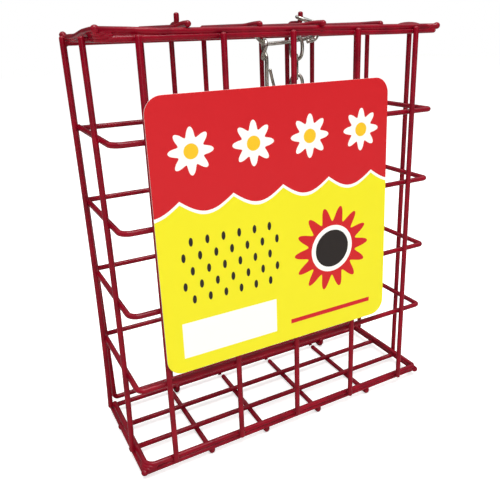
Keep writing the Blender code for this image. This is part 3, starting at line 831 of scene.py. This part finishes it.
# The chain: six closed oval links of zinc-plated steel wire, each turned a quarter turn from the one
# above, and loose links of the same kind on the snap hook and round the right-hand latch's end.
zinc = bpy.data.materials.new("bright_zinc_plate")
zinc.use_nodes = True
tree = zinc.node_tree
shader = tree.nodes["Principled BSDF"]
place = add_node(tree, "ShaderNodeTexCoord")
# Plating that has dulled unevenly: patches about 3 mm wide, from bright silver to a warm grey
patch = add_node(tree, "ShaderNodeTexNoise", Vector=place.outputs["Object"], Scale=320.0, Detail=3.0)
tone = add_node(tree, "ShaderNodeValToRGB", Fac=patch.outputs[0])
tone.color_ramp.elements[0].position = 0.35
tone.color_ramp.elements[0].color = from_hex("#A5A196")
tone.color_ramp.elements[1].position = 0.62
tone.color_ramp.elements[1].color = from_hex("#DEDBD2")
tree.links.new(tone.outputs[0], shader.inputs["Base Color"])
gloss = add_node(tree, "ShaderNodeMapRange", Value=patch.outputs[0], To_Min=0.28, To_Max=0.14)
tree.links.new(gloss.outputs[0], shader.inputs["Roughness"])
# Draw marks and die scratches about 0.4 mm apart
scratch = add_node(tree, "ShaderNodeTexNoise", Vector=place.outputs["Object"], Scale=2400.0, Detail=1.0)
marks = add_node(tree, "ShaderNodeBump", Height=scratch.outputs[0], Strength=0.08, Distance=0.0001)
tree.links.new(marks.outputs[0], shader.inputs["Normal"])
shader.inputs["Metallic"].default_value = 1.0
link_radius = 0.0010
link_half_width = 0.0034
link_half_length = 0.0065
link_roundness = 2.4
zinc_sides = 16


def oval_link(node, turn):
    """Closed oval about the middle of its solid's box: the superellipse |x/a|^n + |y/b|^n = 1 with n the
    roundness. The turn is an Euler rotation of a link that lies flat with its length along X."""
    low, high = (np.array(corner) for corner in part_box(node))
    angle = np.linspace(0, 2 * math.pi, 48, endpoint=False)
    cosine, sine = np.cos(angle), np.sin(angle)
    power = 2 / link_roundness
    loop = np.stack([link_half_length * np.sign(cosine) * np.abs(cosine) ** power,
                     link_half_width * np.sign(sine) * np.abs(sine) ** power, 0 * angle], axis=-1)
    path = loop @ np.array(Euler(turn).to_matrix()).T + (low + high) / 2
    return swept_wire(path, link_radius, zinc_sides, closed=True)


def add_zinc(name, surface, node, body):
    """One zinc-plated piece in the place of its solid."""
    piece = make_piece(name, *surface)
    piece.data.materials.append(zinc)
    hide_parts(node)
    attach(piece, body)


hanging = math.radians(90)
chain_turn = math.radians(-34.0)
# The fourth link hangs a little forward, clear of the door
forward_shift = 0.0003
for number in range(1, 7):
    link = oval_link(f"chain_link_{number}", (0, hanging, chain_turn + hanging))
    if number == 4:
        link[0][:, 1] -= forward_shift
    add_zinc(f"zinc_link_{number}", link, f"chain_link_{number}", f"link_{number}")
    chain_turn += hanging
for number in (1, 2):
    link = oval_link(f"snap_link_{number}", (0, hanging, hanging * (number + 1)))
    add_zinc(f"zinc_snap_link_{number}", link, f"snap_link_{number}", f"snap_ring_{number}")
# The link round the latch's tip lies tilted on the latch wire
prong_place = np.array([0.04080, 0.01810, 0.21335])
prong_link = oval_link("prong_link", (math.radians(16.0), math.radians(13.0), math.radians(10.0)))
prong_low, prong_high = (np.array(corner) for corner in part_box("prong_link"))
prong_link[0][:] += prong_place - (prong_low + prong_high) / 2
add_zinc("zinc_prong_link", prong_link, "prong_link", "latch_ring")


# The clip that carries the chain: one wire with a hook over the lid's rear rail at each end and a
# slanting arm between them. Its right-hand end comes back under itself in an open curl.
def curve_through(points, steps=6):
    """Catmull-Rom curve: between two points the cubic whose end slopes are half the neighbours' spans."""
    points = np.asarray(points, float)
    padded = np.vstack([2 * points[0] - points[1], points, 2 * points[-1] - points[-2]])
    t = np.linspace(0, 1, steps, endpoint=False)[:, None]
    pieces = []
    for before, start, stop, after in zip(padded, padded[1:], padded[2:], padded[3:]):
        square, cube = 2 * before - 5 * start + 4 * stop - after, 3 * start - before - 3 * stop + after
        pieces.append((2 * start + (stop - before) * t + square * t ** 2 + cube * t ** 3) / 2)
    return np.vstack(pieces + [points[-1:]])


# Places on the clip's centre line in millimetres, measured from the rear rail's middle
clip_places = (
    (45.9, -2.5, -8.7), (48.3, -2.65, -8.3), (50.8, -2.65, -7.8), (52.6, -2.65, -6.3), (53.5, -2.65, -3.9),
    (53.8, -2.65, -1.3), (53.8, -1.9, 0.6), (53.8, 0.0, 1.3), (53.8, 2.6, 0.7), (53.8, 3.6, -1.3),
    (53.3, 3.0, -3.9), (51.9, 1.6, -5.9), (48.8, 0.2, -6.8), (45.5, 0.0, -7.2), (41.4, 0.0, -7.6),
    (36.8, 0.0, -8.2), (32.2, 0.0, -8.6), (28.4, 0.0, -8.8), (24.7, 0.0, -9.0), (21.0, 0.0, -9.0),
    (18.2, -0.1, -8.2), (16.4, -0.7, -6.8), (14.3, -1.6, -5.3), (12.6, -2.4, -3.6), (12.3, -2.65, -1.3),
    (12.3, -1.9, 0.6), (12.3, 0.0, 1.4), (12.3, 2.6, 1.0), (12.3, 3.6, -1.3), (12.3, 3.6, -4.0))
millimetre = 0.001
clip_radius = 0.0011
lid_rail = node_ends("lid_cross_4")[0] * (0, 1, 1)
clip_line = curve_through(clip_places) * millimetre + lid_rail
add_zinc("zinc_wire_clip", swept_wire(clip_line, clip_radius, zinc_sides), "wire_clip", "clip")

# The snap hook: a wire wound once round the clip's arm, with its tail beside the spine, a round bowl
# below and a pin on which the sprung gate's eye turns. The gate's tip rests against the spine.
hook_radius, gate_radius = 0.0011, 0.0009
# Where the hook swings on the clip's arm. Its places are in millimetres from there.
hook_origin = np.array([20.75, 0.0, -9.3]) * millimetre + lid_rail
hook_places = (
    (-2.3, -0.2, -8.2), (-2.5, -0.6, -6.0), (-2.5, -1.6, -4.2), (-2.3, -2.7, -2.6), (-1.9, -3.2, -0.6),
    (-1.5, -2.2, 1.5), (-1.1, 0.0, 2.4), (-0.7, 2.2, 1.5), (-0.4, 3.2, -0.8), (-0.1, 2.3, -3.4),
    (0.1, 0.8, -5.8), (0.1, 0.0, -8.6), (-0.1, 0.0, -20.0), (0.0, 0.0, -33.0))
bowl_radius, pin_bend, gate_eye = 2.6, 2.2, 2.3
bowl_centre, pin_centre, pin_end = (2.6, 0.0, -37.9), (5.2, -2.2, -34.9), (5.2, -4.6, -32.7)
hook_line = np.vstack([
    curve_through(hook_places),
    bend_points(bowl_centre, (1, 0, 0), (0, 0, 1), bowl_radius, 180, 360, 16),
    bend_points(pin_centre, (0, 1, 0), (0, 0, 1), pin_bend, 0, 90, 6), [pin_end]])
hook_wire = swept_wire(hook_line * millimetre + hook_origin, hook_radius, zinc_sides)
add_zinc("zinc_snap_hook", hook_wire, "snap_body", "snap")
# The gate's wire leaves its eye, crosses to the plane of the spine and runs up to it
gate_pin = np.array([5.2, -3.83, -32.7])
gate_rise = np.array([(1.9, 0.6, 2.4), (0.9, 2.3, 5.52), (-0.5, 3.83, 9.2), (-3.1, 3.83, 19.4)])
gate_line = np.vstack([
    bend_points(gate_pin, (1, 0, 0), (0, 0, 1), gate_eye, 130, 375, 24),
    curve_through(gate_pin + gate_rise)])
gate_wire = swept_wire(gate_line * millimetre + hook_origin, gate_radius, zinc_sides)
add_zinc("zinc_snap_gate", gate_wire, "snap_gate", "gate")
